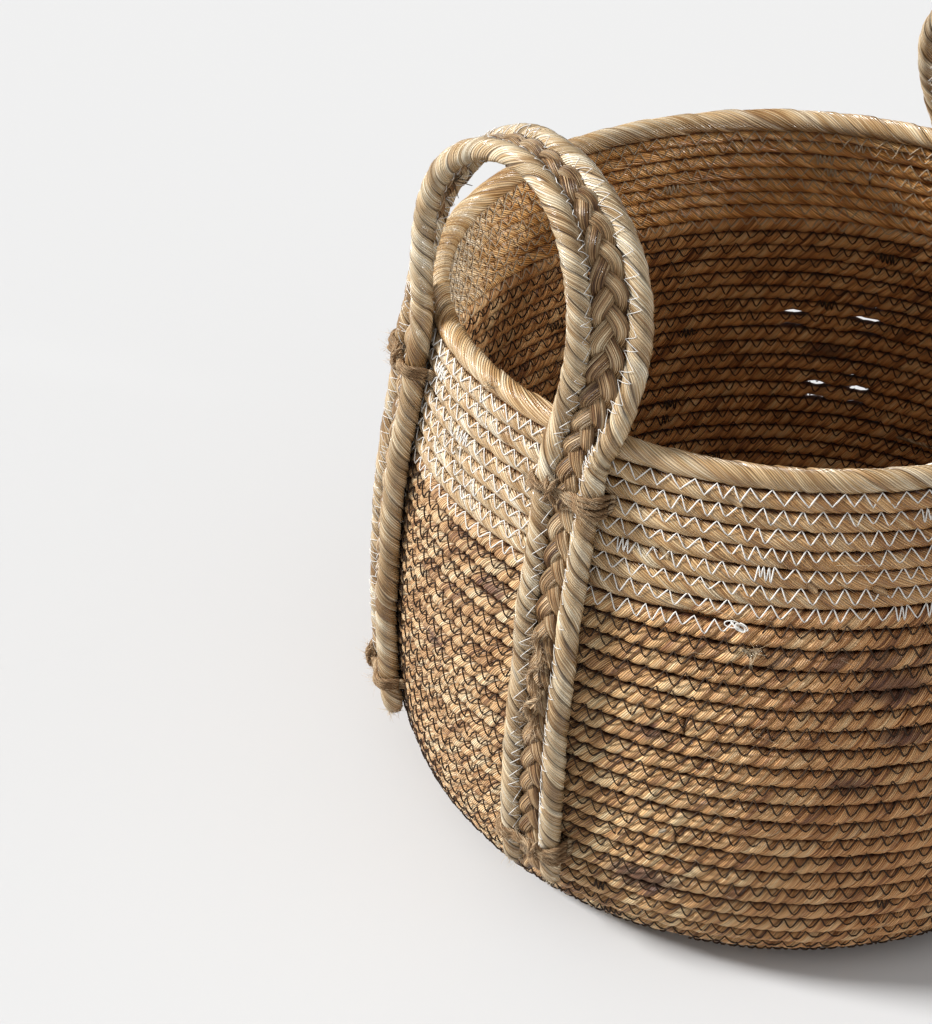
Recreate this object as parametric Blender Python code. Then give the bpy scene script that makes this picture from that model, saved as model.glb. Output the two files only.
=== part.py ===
"""Coiled storage basket with two U-shaped handles, in metres, +Z up.

Thick fibre rope is wound in rows from the middle of the floor to the rim and the rows are sewn to
each other. Each handle is a flat band of two wrapped cords with a braid between them. Its legs lie
on the outside of the wall and are tied to it by twine that passes through the wall.
The origin is on the floor under the middle of the basket, with a handle towards -X and one towards +X.
"""

import math

import bmesh
import bpy
import numpy as np
from mathutils import Matrix, Vector
from mathutils.geometry import interpolate_bezier

CLEARANCE = 0.0003
WELD = 0.00001
SHARP_ANGLE = math.radians(40)

# The wall's outer outline, from the flat floor to the rim, before it is drawn oval
RIM_HEIGHT = 0.300
RIM_RADIUS = 0.183
RIM_LEAN = math.radians(11.0)
BELLY_HEIGHT = 0.085
BELLY_RADIUS = 0.212
FLOOR_RADIUS = 0.158
FLOOR_TURN = 0.052
BELLY_REACH_DOWN = 0.055
BELLY_REACH_UP = 0.075
RIM_REACH_DOWN = 0.070
OVAL = 0.0486
OVAL_ANGLE = math.radians(48.5)
OVAL_HEIGHT = 0.275
OVAL_GROWTH = 1.5

# The rope rows
DARK_ROW = 0.01106
DARK_ROWS = 20
PALE_ROW = 0.0098
PALE_ROWS = 6
RIM_COIL = 0.0118
WALL = 0.0110
GROOVE = 0.0022
BROAD_CREST = (0.28, 0.72)
PLAIN_CREST = (0.5,)
OUTLINE_POINTS = 60
DIRECTION_STEP = 0.001
ROUND_STEPS = 30
RIM_SIDES = 10

# The handle bands
HANDLE_ANGLE = math.radians(92.0)
LEG_SPREAD = math.radians(21.0)
FOOT_SPREAD = math.radians(21.0)
FOOT_SHIFT = math.radians(1.7)
LEG_TOP_HEIGHT = 0.290
LEG_FOOT_HEIGHT = 0.043
ARCH_RISE = 0.157
ARCH_LEAN = 0.034
ARCH_BULGE = 0.048
ARCH_TWIST = 1.6
CORD = 0.0112
CORD_SPACING = 0.0240
ARCH_SPACINGS = ((0.0, 0.6, 1.0), (0.0205, 0.0280, 0.0240))
BRAID_THICK = 0.0088
END_TAPER = 0.7
CORD_SIDES = 8
LEG_STEPS = 9
ARCH_STEPS = 14

# The twine
TWINE = 0.0030
TWINE_SIDES = 5
TIE_SLACK = 0.0008
TIE_CORNER_STEPS = 2
TIE_HOLE_SIDES = 6
UPPER_TIE_ROW = 2
LOWER_TIE_ROW = 5
LOOSE_LOW = 0.135
LOOSE_HIGH = 0.195
LOOSE_WAVES = 3
LOOSE_SWAY = 0.0028
LOOSE_STEPS = 27


def clear_scene():
    for thing in list(bpy.data.objects):
        bpy.data.objects.remove(thing, do_unlink=True)


def finish(name, colour, roughness):
    material = bpy.data.materials.new(name)
    material.use_nodes = True
    shader = material.node_tree.nodes["Principled BSDF"]
    shader.inputs["Base Color"].default_value = (*colour, 1.0)
    shader.inputs["Roughness"].default_value = roughness
    return material


def add_object(name, shape, material):
    """Puts a finished bmesh in the scene as one named, smoothly shaded object."""
    bmesh.ops.recalc_face_normals(shape, faces=shape.faces)
    mesh = bpy.data.meshes.new(name)
    shape.to_mesh(mesh)
    shape.free()
    mesh.shade_smooth()
    mesh.set_sharp_from_angle(angle=SHARP_ANGLE)
    mesh.materials.append(material)
    thing = bpy.data.objects.new(name, mesh)
    bpy.context.scene.collection.objects.link(thing)
    return thing


def draw_oval(shape):
    """Draws the round shape out along one diagonal, not at all at the floor and fully near the rim."""
    turn_to = Matrix.Rotation(OVAL_ANGLE - math.radians(90), 3, "Z")
    for corner in shape.verts:
        share = min(max(corner.co.z / OVAL_HEIGHT, 0.0), 1.0) ** OVAL_GROWTH
        along = turn_to.inverted() @ corner.co
        corner.co = turn_to @ Vector((along.x * (1 + OVAL * share), along.y * (1 - OVAL * share), along.z))


def outline():
    """The wall's outer outline as close points (radius, height), from the axis out and up to the rim."""
    rim_start = Vector((RIM_RADIUS, RIM_HEIGHT - RIM_COIL / 2))
    rim_handle = rim_start + Vector((math.sin(RIM_LEAN), -math.cos(RIM_LEAN))) * RIM_REACH_DOWN
    belly = Vector((BELLY_RADIUS, BELLY_HEIGHT))
    floor_edge = Vector((FLOOR_RADIUS, 0))
    turn_handle = floor_edge + Vector((FLOOR_TURN, 0))
    below_belly, above_belly = belly - Vector((0, BELLY_REACH_DOWN)), belly + Vector((0, BELLY_REACH_UP))
    turn_up = interpolate_bezier(floor_edge, turn_handle, below_belly, belly, OUTLINE_POINTS)
    lean_in = interpolate_bezier(belly, above_belly, rim_handle, rim_start, OUTLINE_POINTS)
    return np.array([(0.0, 0.0), *map(tuple, turn_up), *map(tuple, lean_in[1:])])


OUTLINE = outline()
STATION = np.concatenate([[0.0], np.cumsum(np.linalg.norm(np.diff(OUTLINE, axis=0), axis=1))])
LENGTH = STATION[-1]
PALE_TOP = LENGTH - RIM_COIL / 2
PALE_BOTTOM = PALE_TOP - PALE_ROWS * PALE_ROW
DARK_BOTTOM = PALE_BOTTOM - DARK_ROWS * DARK_ROW
FLOOR_ROWS = round(DARK_BOTTOM / DARK_ROW)


def on_outline(station, out=0.0):
    """(radius, height) at a distance along the outline from the axis, moved out along its normal."""
    here = np.array([np.interp(station, STATION, OUTLINE[:, k]) for k in (0, 1)])
    before = [np.interp(max(station - DIRECTION_STEP, 0.0), STATION, OUTLINE[:, k]) for k in (0, 1)]
    after = [np.interp(min(station + DIRECTION_STEP, LENGTH), STATION, OUTLINE[:, k]) for k in (0, 1)]
    along = np.subtract(after, before)
    along /= np.linalg.norm(along)
    return here + out * np.array([along[1], -along[0]])


def station_at(height):
    side = OUTLINE[:, 1] > 0
    return float(np.interp(height, OUTLINE[side, 1], STATION[side]))


LEG_TOP = station_at(LEG_TOP_HEIGHT)
LEG_FOOT = station_at(LEG_FOOT_HEIGHT)


def on_wall(angle, station, out=0.0):
    """A point on the wall. The angle is from the front, -Y, towards +X."""
    radius, height = on_outline(station, out)
    return Vector((radius * math.sin(angle), -radius * math.cos(angle), height))


def turn(name, profile, material):
    """Turns a closed profile of (radius, height) points round the axis."""
    shape = bmesh.new()
    corners = [shape.verts.new((radius, 0, height)) for radius, height in profile]
    edges = [shape.edges.new(pair) for pair in zip(corners, corners[1:])]
    if max(profile[0][0], profile[-1][0]) > WELD:
        edges.append(shape.edges.new((corners[-1], corners[0])))
    bmesh.ops.spin(
        shape,
        geom=corners + edges,
        cent=(0, 0, 0),
        axis=(0, 0, 1),
        angle=math.tau,
        steps=ROUND_STEPS,
        use_merge=True,
    )
    bmesh.ops.remove_doubles(shape, verts=shape.verts, dist=WELD)
    draw_oval(shape)
    return add_object(name, shape, material)


def rope_rows(start, end, rows, out, groove_out, crest_places):
    """The ribbed side of sewn rows: a groove, then the crest's points and a groove for each row."""
    pitch = (end - start) / rows
    points = [on_outline(start, groove_out)]
    for row in range(rows):
        for place in crest_places:
            points.append(on_outline(start + (row + place) * pitch, out))
        points.append(on_outline(start + (row + 1) * pitch, groove_out))
    return points


def wall_band(name, start, end, rows, material):
    """A band of rows in the wall, ribbed inside and outside, clear of the bands below and above it."""
    low, high = start + CLEARANCE / 2, end - CLEARANCE / 2
    outside = rope_rows(low, high, rows, 0.0, -GROOVE, BROAD_CREST)
    inside = rope_rows(low, high, rows, -WALL, GROOVE - WALL, PLAIN_CREST)
    return turn(name, outside + inside[::-1], material)


def floor(material):
    """The floor's rows: ribbed above, flat below where the basket stands, and ribbed where they turn up."""
    high = DARK_BOTTOM - CLEARANCE / 2
    pitch = high / FLOOR_ROWS
    flat_rows = int(FLOOR_RADIUS / pitch)
    above = rope_rows(pitch, high, FLOOR_ROWS - 1, -WALL, GROOVE - WALL, PLAIN_CREST)
    below = rope_rows(flat_rows * pitch, high, FLOOR_ROWS - flat_rows, 0.0, -GROOVE, BROAD_CREST)
    below[0] = on_outline(flat_rows * pitch)
    profile = [(0.0, 0.0)] + below + above[::-1] + [(0.0, WALL)]
    return turn("floor_coil", profile, material)


def rim(material):
    """The rim's single round coil, which stands on the top row of the pale band."""
    centre = on_outline(LENGTH, -RIM_COIL / 2)
    profile = []
    for side in range(RIM_SIDES):
        around = math.tau * (side + 0.5) / RIM_SIDES
        profile.append(
            (centre[0] + RIM_COIL / 2 * math.cos(around), centre[1] + RIM_COIL / 2 * math.sin(around))
        )
    return turn("rim_coil", profile, material)


def loft(name, rings, material, closed=False):
    """Joins rings of points, all of the same count, and caps the two end rings."""
    shape = bmesh.new()
    loops = [[shape.verts.new(point) for point in ring] for ring in rings]
    pairs = list(zip(loops, loops[1:] + loops[:1])) if closed else list(zip(loops, loops[1:]))
    for first, second in pairs:
        for side in range(len(first)):
            following = (side + 1) % len(first)
            shape.faces.new((first[side], first[following], second[following], second[side]))
    if not closed:
        shape.faces.new(loops[0][::-1])
        shape.faces.new(loops[-1])
    draw_oval(shape)
    return add_object(name, shape, material)


def ellipse_ring(centre, across, up, width, thick, sides):
    ring = []
    for side in range(sides):
        around = math.tau * (side + 0.5) / sides
        ring.append(centre + across * (width / 2 * math.cos(around)) + up * (thick / 2 * math.sin(around)))
    return ring


def leg_angle(handle, side, station):
    """Where a leg's middle lies round the wall. side is -1 or 1 for the two legs of one handle."""
    share = (station - LEG_FOOT) / (LEG_TOP - LEG_FOOT)
    spread = FOOT_SPREAD + (LEG_SPREAD - FOOT_SPREAD) * share
    return handle * (HANDLE_ANGLE + FOOT_SHIFT * (1 - share)) + side * spread


def band_frames(handle):
    """The band's centre line, from the foot of one leg over the arch to the foot of the other.

    Each frame is the centre, the way across the band to the inside of the U, the way out of its
    face, and the spacing of its cords. handle is -1 for the one towards -X and 1 for the other.
    """
    facing = handle * HANDLE_ANGLE
    outward = Vector((math.sin(facing), -math.cos(facing), 0))
    sideways = Vector((math.cos(facing), math.sin(facing), 0))
    centres, acrosses, spacings = [], [], []

    def leg(side, share):
        station = LEG_FOOT + (LEG_TOP - LEG_FOOT) * share
        angle = leg_angle(handle, side, station)
        across = Vector((math.cos(angle), math.sin(angle), 0)) * -side
        return on_wall(angle, station, CORD / 2 + CLEARANCE), across

    for step in range(LEG_STEPS):
        centre, across = leg(-1, step / LEG_STEPS)
        centres.append(centre)
        acrosses.append(across)
        spacings.append(CORD_SPACING)
    start, end = leg(-1, 1.0)[0], leg(1, 1.0)[0]
    rise = Vector((0, 0, ARCH_RISE)) - outward * ARCH_LEAN
    bulge = sideways * ARCH_BULGE
    arch = interpolate_bezier(start, start + rise - bulge, end + rise + bulge, end, ARCH_STEPS + 1)
    for step, point in enumerate(arch):
        place = 2 * step / ARCH_STEPS - 1
        swing = math.copysign(abs(place) ** ARCH_TWIST, place) * math.radians(90)
        local = facing + place * LEG_SPREAD - swing
        centres.append(point)
        acrosses.append(Vector((math.sin(local), -math.cos(local), 0)))
        spacings.append(float(np.interp(abs(place), *ARCH_SPACINGS)))
    for step in range(LEG_STEPS - 1, -1, -1):
        centre, across = leg(1, step / LEG_STEPS)
        centres.append(centre)
        acrosses.append(across)
        spacings.append(CORD_SPACING)

    frames = []
    for place, centre in enumerate(centres):
        along = (centres[min(place + 1, len(centres) - 1)] - centres[max(place - 1, 0)]).normalized()
        across = (acrosses[place] - along * acrosses[place].dot(along)).normalized()
        frames.append((centre, across, along.cross(across), spacings[place]))
    return frames


def band_piece(name, frames, side, material):
    """One strand of the band: side is 1 for the inner cord, -1 for the outer cord and 0 for the braid."""
    rings = []
    for place, (centre, across, up, spacing) in enumerate(frames):
        size = END_TAPER if place in (0, len(frames) - 1) else 1.0
        width, thick = (CORD, CORD) if side else (spacing - CORD - 2 * CLEARANCE, BRAID_THICK)
        middle = centre + across * side * spacing / 2
        rings.append(ellipse_ring(middle, across, up, width * size, thick * size, CORD_SIDES))
    return loft(name, rings, material)


def tie_half_width():
    return CORD_SPACING / 2 + CORD / 2 + TIE_SLACK + TWINE / 2


def tie_frame(angle, station):
    """The middle of a tie on the wall's face, with the ways along the row and out of the wall."""
    centre = on_wall(angle, station)
    sideways = Vector((math.cos(angle), math.sin(angle), 0))
    return centre, sideways, (on_wall(angle, station, WALL) - centre).normalized()


def tie(name, angle, station, material):
    """A closed loop of twine over the two cords, through the wall on both sides and along its inside."""
    centre, sideways, outwards = tie_frame(angle, station)
    half = tie_half_width()
    wall_bow = half * half / (2 * centre.xy.length)
    outer = CORD + 2 * CLEARANCE + TWINE / 2
    inner = -(WALL + wall_bow + CLEARANCE + TWINE / 2)
    bend = TWINE
    path = []
    for corner, (across, out) in enumerate(((half, outer), (-half, outer), (-half, inner), (half, inner))):
        across_turn, out_turn = across - math.copysign(bend, across), out - math.copysign(bend, out)
        for step in range(TIE_CORNER_STEPS + 1):
            around = math.radians(90) * (corner + step / TIE_CORNER_STEPS)
            path.append((across_turn + bend * math.cos(around), out_turn + bend * math.sin(around)))
    rings = []
    for place, (across, out) in enumerate(path):
        before, after = Vector(path[place - 1]), Vector(path[(place + 1) % len(path)])
        along = (after - before).normalized()
        middle = centre + sideways * across + outwards * out
        beside = sideways * along.y - outwards * along.x
        rings.append(ellipse_ring(middle, beside, sideways.cross(outwards), TWINE, TWINE, TWINE_SIDES))
    return loft(name, rings, material, closed=True)


def cut_tie_holes(wall, places):
    """Opens the wall where the twine of each tie passes through it."""
    shape = bmesh.new()
    for angle, station in places:
        centre, sideways, outwards = tie_frame(angle, station)
        for side in (-1, 1):
            middle = centre + sideways * side * tie_half_width() - outwards * WALL / 2
            turned = outwards.to_track_quat("Z", "Y").to_matrix().to_4x4()
            bmesh.ops.create_cone(
                shape,
                cap_ends=True,
                segments=TIE_HOLE_SIDES,
                radius1=TWINE / 2 + 2 * CLEARANCE,
                radius2=TWINE / 2 + 2 * CLEARANCE,
                depth=3 * WALL,
                matrix=Matrix.Translation(middle) @ turned,
            )
    draw_oval(shape)
    cutter = add_object(wall.name + "_tie_holes", shape, wall.data.materials[0])
    cutter.hide_render = True
    cutter.display_type = "WIRE"
    cut = wall.modifiers.new("tie_holes", "BOOLEAN")
    cut.operation = "DIFFERENCE"
    cut.solver = "EXACT"
    cut.object = cutter


def loose_twine(name, handle, side, material):
    """A spare length of twine that lies in waves on the face of the braid."""
    low, high = station_at(LOOSE_LOW), station_at(LOOSE_HIGH)
    out = CORD / 2 + BRAID_THICK / 2 + 2 * CLEARANCE + TWINE / 2
    path = []
    for step in range(LOOSE_STEPS + 1):
        share = step / LOOSE_STEPS
        station = low + (high - low) * share
        angle = leg_angle(handle, side, station)
        across = Vector((math.cos(angle), math.sin(angle), 0))
        sway = LOOSE_SWAY * math.sin(math.tau * LOOSE_WAVES * share)
        path.append((on_wall(angle, station, out) + across * sway, across))
    rings = []
    for place, (centre, across) in enumerate(path):
        before, after = path[max(place - 1, 0)][0], path[min(place + 1, LOOSE_STEPS)][0]
        along = (after - before).normalized()
        beside = (across - along * across.dot(along)).normalized()
        rings.append(ellipse_ring(centre, beside, along.cross(beside), TWINE, TWINE, TWINE_SIDES))
    return loft(name, rings, material)


def main():
    clear_scene()
    dark = finish("dark_rope", (0.22, 0.12, 0.06), 0.75)
    pale = finish("pale_rope", (0.52, 0.38, 0.22), 0.65)
    husk = finish("wrapped_husk", (0.55, 0.42, 0.26), 0.5)
    leaf = finish("braided_leaf", (0.33, 0.21, 0.12), 0.65)
    jute = finish("jute_twine", (0.42, 0.28, 0.17), 0.9)

    floor(dark)
    dark_wall = wall_band("dark_wall_coil", DARK_BOTTOM, PALE_BOTTOM, DARK_ROWS, dark)
    pale_band = wall_band("pale_band_coil", PALE_BOTTOM, PALE_TOP, PALE_ROWS, pale)
    rim(husk)

    upper_station = PALE_TOP - UPPER_TIE_ROW * PALE_ROW
    lower_station = DARK_BOTTOM + LOWER_TIE_ROW * DARK_ROW
    upper, lower = [], []
    for handle, handle_name in ((-1, "left_handle"), (1, "right_handle")):
        frames = band_frames(handle)
        band_piece(handle_name + "_inner_cord", frames, 1, husk)
        band_piece(handle_name + "_outer_cord", frames, -1, husk)
        band_piece(handle_name + "_braid", frames, 0, leaf)
        for side in (-1, 1):
            leg_name = "front_leg" if side == -handle else "back_leg"
            for level, station, places in (("upper", upper_station, upper), ("lower", lower_station, lower)):
                angle = leg_angle(handle, side, station)
                tie(f"{handle_name}_{leg_name}_{level}_tie", angle, station, jute)
                places.append((angle, station))
    cut_tie_holes(pale_band, upper)
    cut_tie_holes(dark_wall, lower)
    loose_twine("left_handle_loose_twine", -1, 1, jute)


main()
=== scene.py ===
import itertools
import math

import bmesh
import bpy
import numpy as np
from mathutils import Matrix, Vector


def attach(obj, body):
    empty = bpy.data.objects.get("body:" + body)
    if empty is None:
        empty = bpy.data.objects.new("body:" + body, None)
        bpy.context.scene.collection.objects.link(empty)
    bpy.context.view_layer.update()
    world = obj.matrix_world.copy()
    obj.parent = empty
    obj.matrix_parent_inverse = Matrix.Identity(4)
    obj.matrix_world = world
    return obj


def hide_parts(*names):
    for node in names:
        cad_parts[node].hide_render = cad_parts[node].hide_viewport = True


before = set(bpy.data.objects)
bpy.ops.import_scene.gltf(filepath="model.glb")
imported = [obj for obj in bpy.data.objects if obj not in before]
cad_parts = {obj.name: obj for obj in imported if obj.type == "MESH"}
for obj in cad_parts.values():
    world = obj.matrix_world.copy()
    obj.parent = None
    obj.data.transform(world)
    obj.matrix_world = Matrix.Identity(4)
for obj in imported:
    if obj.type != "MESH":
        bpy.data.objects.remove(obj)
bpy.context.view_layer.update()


# The view of the photograph: a long lens that looks down into the basket past the front leg of one
# handle. The frame is portrait, so the sensor's 36 mm lie along its height.
def add_object(name, data):
    """A new object at the origin, linked to the scene."""
    added = bpy.data.objects.new(name, data)
    bpy.context.scene.collection.objects.link(added)
    return added


camera = add_object("camera", bpy.data.cameras.new("camera"))
camera.data.lens = 91.705
camera.data.sensor_width = 36.0
camera.location = (-0.75486, -0.85322, 1.0155)
camera.rotation_euler = [math.radians(turn) for turn in (52.3465, 0.3768, -33.104)]
bpy.context.scene.camera = camera
bpy.context.scene.view_settings.view_transform = "Standard"


# The dark rope: three plies of twisted plant fibre, wound from the middle of the floor outwards and
# up the wall in rows that are sewn to each other. Each row lies level in front and climbs to the
# next one's height round the back, and daylight shows where the rope is thin.
FLOOR_EDGE, BELLY, RIM = (0.158, 0.0), (0.212, 0.085), (0.183, 0.2941)
ROPE_THICK, SQUARE = 0.011, 2.15
DARK_ROW, PALE_ROW, DARK_ROWS, PALE_ROWS = 0.01106, 0.0098, 20, 6
RIM_RADIUS = 0.0059
RIM_LEAN = math.radians(11.0)
SPLICE_ANGLE = math.radians(-52.0)
OVAL_TURN, OVAL_SHARE, OVAL_HEIGHT = math.radians(-41.5), 0.0486, 0.275
OUTLINE_MARKS, FLOOR_MARKS = 900, 300


def bezier(points, steps):
    share = np.linspace(0, 1, steps)[:, None]
    a, b, c, d = (np.asarray(point, float) for point in points)
    rest = 1 - share
    return rest**3 * a + 3 * rest**2 * share * b + 3 * rest * share**2 * c + share**3 * d


beyond_floor = (FLOOR_EDGE[0] + 0.052, 0.0)
below_belly, above_belly = (BELLY[0], BELLY[1] - 0.055), (BELLY[0], BELLY[1] + 0.075)
below_rim = (RIM[0] + 0.07 * math.sin(RIM_LEAN), RIM[1] - 0.07 * math.cos(RIM_LEAN))
outline = np.vstack([
    [(0.0, 0.0)],
    bezier((FLOOR_EDGE, beyond_floor, below_belly, BELLY), 90),
    bezier((BELLY, above_belly, below_rim, RIM), 90)[1:],
])
station = np.concatenate([[0.0], np.cumsum(np.linalg.norm(np.diff(outline, axis=0), axis=1))])
station_marks = np.linspace(0, station[-1], OUTLINE_MARKS)
outline = np.stack([np.interp(station_marks, station, outline[:, axis]) for axis in (0, 1)], 1)
outline_run = np.gradient(outline, axis=0)
outline_run /= np.linalg.norm(outline_run, axis=1)[:, None]
outline_out = np.stack([outline_run[:, 1], -outline_run[:, 0]], 1)

PALE_TOP = station_marks[-1] - RIM_RADIUS
PALE_BOTTOM = PALE_TOP - PALE_ROWS * PALE_ROW
DARK_BOTTOM = PALE_BOTTOM - DARK_ROWS * DARK_ROW
FLOOR_ROWS = round(DARK_BOTTOM / DARK_ROW)
LEVELS = (0, FLOOR_ROWS, FLOOR_ROWS + DARK_ROWS, FLOOR_ROWS + DARK_ROWS + PALE_ROWS)
SPLICE = FLOOR_ROWS + DARK_ROWS - 1


def polar(angle, radius, height):
    """Points round the axis. The angle is from the front, -Y, towards +X."""
    return np.stack(np.broadcast_arrays(radius * np.sin(angle), -radius * np.cos(angle), height), -1)


def on_wall(angle, along, out):
    """Points at a distance along the wall's outline from the axis, and so far out of its face."""
    radius, height = (np.interp(along, station_marks, outline[:, axis]) for axis in (0, 1))
    out_radius, out_height = (np.interp(along, station_marks, outline_out[:, axis]) for axis in (0, 1))
    return polar(angle, radius + out * out_radius, height + out * out_height)


def wall_station(height):
    """The distance along the outline at which the wall has a height. The floor's marks are left out."""
    return np.interp(height, outline[FLOOR_MARKS:, 1], station_marks[FLOOR_MARKS:])


def draw_oval(points):
    """The basket is drawn out a little along one diagonal, more so towards the rim."""
    cosine, sine = math.cos(OVAL_TURN), math.sin(OVAL_TURN)
    turn = np.array([[cosine, -sine, 0], [sine, cosine, 0], [0, 0, 1]])
    share = OVAL_SHARE * np.clip(points[..., 2] / OVAL_HEIGHT, 0, 1) ** 1.5
    local = points @ turn
    local = local * np.stack([1 + share, 1 - share, np.ones_like(share)], -1)
    return local @ turn.T


def drift(along, knot, seed):
    """A smooth wander between -1 and 1, with a new value every knot metres."""
    values = np.random.default_rng(seed).uniform(-1, 1, int(np.max(along) / knot) + 3)
    place = along / knot
    first = place.astype(int)
    share = place - first
    share = share * share * (3 - 2 * share)
    return values[first] * (1 - share) + values[first + 1] * share


def close_piece(name, shape, mesh, merge, material):
    """Closes the ends of the tubes, turns their faces outwards and adds them as one fixed piece."""
    bmesh.ops.remove_doubles(shape, verts=shape.verts, dist=merge)
    bmesh.ops.holes_fill(shape, edges=[edge for edge in shape.edges if edge.is_boundary], sides=0)
    bmesh.ops.recalc_face_normals(shape, faces=shape.faces)
    shape.to_mesh(mesh)
    shape.free()
    mesh.shade_smooth()
    mesh.materials.append(material)
    piece = add_object(name, mesh)
    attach(piece, "root")
    return piece


def skin(name, points, along, around, material, replaced=(), section=None):
    """Wraps a grid round a path as a closed tube. points runs round first, then along. section says
    how many turns each point has gone round the rope's section, from the face that looks outwards."""
    rows, columns = points.shape[:2]
    shape = bmesh.new()
    bmesh.ops.create_grid(shape, x_segments=columns - 1, y_segments=rows - 1, size=1)
    mesh = bpy.data.meshes.new(name)
    shape.to_mesh(mesh)
    mesh.vertices.foreach_set("co", draw_oval(points).reshape(-1))
    corner = np.empty(len(mesh.loops), int)
    mesh.loops.foreach_get("vertex_index", corner)
    length = np.broadcast_to(along, (rows, columns)).reshape(-1)
    maps = {"strand": (length[corner], around[corner // columns])}
    if section is not None:
        maps["section"] = (section.reshape(-1)[corner], np.zeros(len(corner)))
    for layer_name, places in maps.items():
        layer = mesh.uv_layers.new(name=layer_name)
        layer.data.foreach_set("uv", np.stack(places, 1).reshape(-1).astype(np.float32))
    shape.clear()
    shape.from_mesh(mesh)
    piece = close_piece(name, shape, mesh, 1e-6, material)
    if replaced:
        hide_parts(*replaced)


def climb(turns):
    """The height of a row, in rows, after so many turns from the middle of the floor."""
    row = np.floor(turns)
    part = turns - row
    rise = np.clip((part - 0.22) / 0.66, 0, 1)
    rise = rise * rise * (3 - 2 * rise)
    level = np.clip(turns / FLOOR_ROWS, 0, 1)
    return row + part * (1 - level) + rise * level


def row_station(level):
    """The distance along the outline of the seam below a row."""
    return np.interp(level, LEVELS, (0, DARK_BOTTOM, PALE_BOTTOM, PALE_TOP))


def wind(first, last, step):
    """The rope's way: turns counted from the middle, its angle, and the length wound so far."""
    turns = np.linspace(first, last, int((last - first) * 500))
    radius = np.interp(row_station(climb(turns) + 0.5), station_marks, outline[:, 0])
    length = np.concatenate([[0], np.cumsum(np.diff(turns) * math.tau * radius[1:])])
    along = np.arange(0, length[-1], step)
    turns = np.interp(along, length, turns)
    return turns, SPLICE_ANGLE - math.tau * turns, along


def ply_grid(profile, plies):
    """Where a rope's lines lie round its section, and how high each stands, from one ply's profile."""
    around = np.append([(ply + at) / plies for ply in range(plies) for at, _ in profile], 1.0)
    return around, np.append([high for _, high in profile] * plies, profile[0][1])


def lay_rope(turns, angle, along, plies, profile, twist, size, seed):
    """The surface of a sewn rope whose plies run along the grid's lines. Its section is squarish."""
    around, height = ply_grid(profile, plies)
    level = climb(turns)
    bottom, top = row_station(level), row_station(np.minimum(level + 1, LEVELS[-1]))
    middle = (bottom + top) / 2 + 0.0004 * drift(along, 0.05, seed)
    half_row = (top - bottom) / 2 * size
    fat = 1 + 0.035 * drift(along, 0.035, seed + 1)
    points, section = [], []
    for place, high in zip(around, height):
        ply = int(place * plies) % plies
        swell = high * fat * (1 + 0.055 * drift(along, 0.02, seed + 2 + ply)
                              + 0.045 * drift(along, 0.007, seed + 6 + ply))
        turn = math.tau * place + twist + 0.14 * drift(along, 0.013, seed + 10 + ply)
        side, front = (np.sign(part) * np.abs(part) ** (2 / SQUARE) for part in (np.sin(turn), np.cos(turn)))
        out = ROPE_THICK / 2 * (np.minimum(size, 1) * swell * front - 1)
        points.append(on_wall(angle, middle + 1.03 * half_row * swell * side, out))
        section.append(turn / math.tau)
    return np.array(points), around, np.array(section)


class Wire:
    """A shader value. Arithmetic on it adds Math nodes, and node() adds any other node."""

    def __init__(self, tree, socket=None):
        self.tree, self.socket = tree, socket

    def node(self, kind, settings, inputs, output=0):
        made = self.tree.nodes.new("ShaderNode" + kind)
        for name, value in settings.items():
            if name == "stops":
                ramp = made.color_ramp.elements
                ends = {0: value[0], 1: value[-1]}
                for place, colour in value[1:-1]:
                    ramp.new(place).color = (*colour, 1.0)
                for element, (place, colour) in ((ramp[0], ends[0]), (ramp[-1], ends[1])):
                    element.position, element.color = place, (*colour, 1.0)
            else:
                setattr(made, name, value)
        for name, value in inputs.items():
            if isinstance(value, Wire):
                self.tree.links.new(value.socket, made.inputs[name])
            else:
                made.inputs[name].default_value = value
        return Wire(self.tree, made.outputs[output])

    def feed(self, socket):
        self.tree.links.new(self.socket, socket)

    def __add__(self, other):
        return self.node("Math", {"operation": "ADD"}, {0: self, 1: other})

    def __sub__(self, other):
        return self.node("Math", {"operation": "SUBTRACT"}, {0: self, 1: other})

    def __rsub__(self, other):
        return self.node("Math", {"operation": "SUBTRACT"}, {0: other, 1: self})

    def __mul__(self, other):
        return self.node("Math", {"operation": "MULTIPLY"}, {0: self, 1: other})

    __radd__ = __add__
    __rmul__ = __mul__


def new_finish(name):
    """A new material, its shader, and a wire to start from."""
    material = bpy.data.materials.new(name)
    material.use_nodes = True
    return material, material.node_tree.nodes["Principled BSDF"], Wire(material.node_tree)


SLIT_SHADE = (0.42, 0.31, 0.22)
# The way across the basket towards its side away from the key light, for painted shade there and painted
# light opposite
PAINTED_SHADE_SIDE = (0.749, -0.663, 0.0)


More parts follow.
